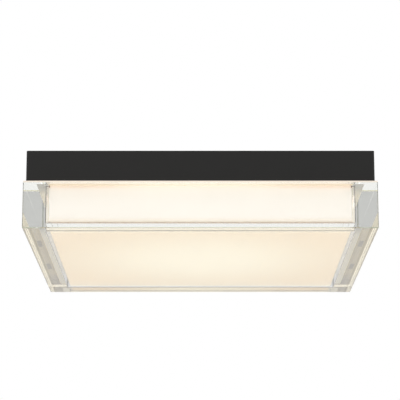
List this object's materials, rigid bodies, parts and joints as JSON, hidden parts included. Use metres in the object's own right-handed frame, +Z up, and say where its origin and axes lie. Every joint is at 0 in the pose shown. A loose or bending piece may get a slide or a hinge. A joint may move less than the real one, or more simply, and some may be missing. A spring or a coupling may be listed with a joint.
{
  "type": "flush mount ceiling light",
  "caption": "Square outdoor LED flush mount ceiling light: black canopy on a ceiling plate, thick clear block lens below it and a glowing opal diffuser inside the lens.",
  "frame": {"origin": "middle of the mounting plate's upper face, where it lies on the ceiling", "axes": "+Z up into the ceiling, -Y towards the viewer of the picture, X across the picture"},
  "size_m": [0.305, 0.305, 0.0689],
  "materials": {
    "zinc_steel": "satin",
    "screw_steel": "satin",
    "black_steel": "satin",
    "green_screw": "satin",
    "black_canopy": "matte",
    "ring_rubber": "matte",
    "white_silicone": "matte",
    "driver_plastic": "matte",
    "driver_pcb": "satin",
    "terminal_plastic": "satin",
    "live_insulation": "satin",
    "neutral_insulation": "satin",
    "earth_insulation": "satin",
    "positive_insulation": "satin",
    "tinned_copper": "satin",
    "grommet_rubber": "matte",
    "pad_silicone": "matte",
    "board_white": "satin",
    "led_phosphor": "satin",
    "connector_plastic": "satin",
    "opal": "matte",
    "clear_acrylic": "polished"
  },
  "bodies": {
    "ceiling_bracket": {"mounting_plate": "zinc_steel", "ground_screw": "green_screw"},
    "fixture": {"canopy": "black_canopy", "ceiling_gasket": "ring_rubber", "driver_case": "driver_plastic", "driver_cover": "driver_plastic", "driver_board": "driver_pcb", "module_screws": "screw_steel", "terminal_block": "terminal_plastic", "terminal_screws": "screw_steel", "live_lead": "live_insulation", "neutral_lead": "neutral_insulation", "earth_lead": "earth_insulation", "earth_terminal": "tinned_copper", "earth_screw": "green_screw", "led_lead_positive": "positive_insulation", "led_lead_negative": "live_insulation", "lead_grommet": "grommet_rubber", "thermal_pad": "pad_silicone", "led_board": "board_white", "led_chips": "led_phosphor", "board_connector": "connector_plastic", "board_screws": "screw_steel", "diffuser": "opal", "diffuser_screws": "screw_steel", "lens_gasket": "white_silicone", "clear_lens": "clear_acrylic"},
    "left_set_screw": {"left_set_screw": "black_steel"},
    "right_set_screw": {"right_set_screw": "black_steel"}
  },
  "joints": [
    {"name": "fixture_drop", "type": "slide", "parent": "ceiling_bracket", "child": "fixture", "axis": [0, 0, -1], "range_m": [0, 0.03]},
    {"name": "left_screw_travel", "type": "slide", "parent": "fixture", "child": "left_set_screw", "axis": [-1, 0, 0], "range_m": [0, 0.004]},
    {"name": "right_screw_travel", "type": "slide", "parent": "fixture", "child": "right_set_screw", "axis": [1, 0, 0], "range_m": [0, 0.004]}
  ]
}
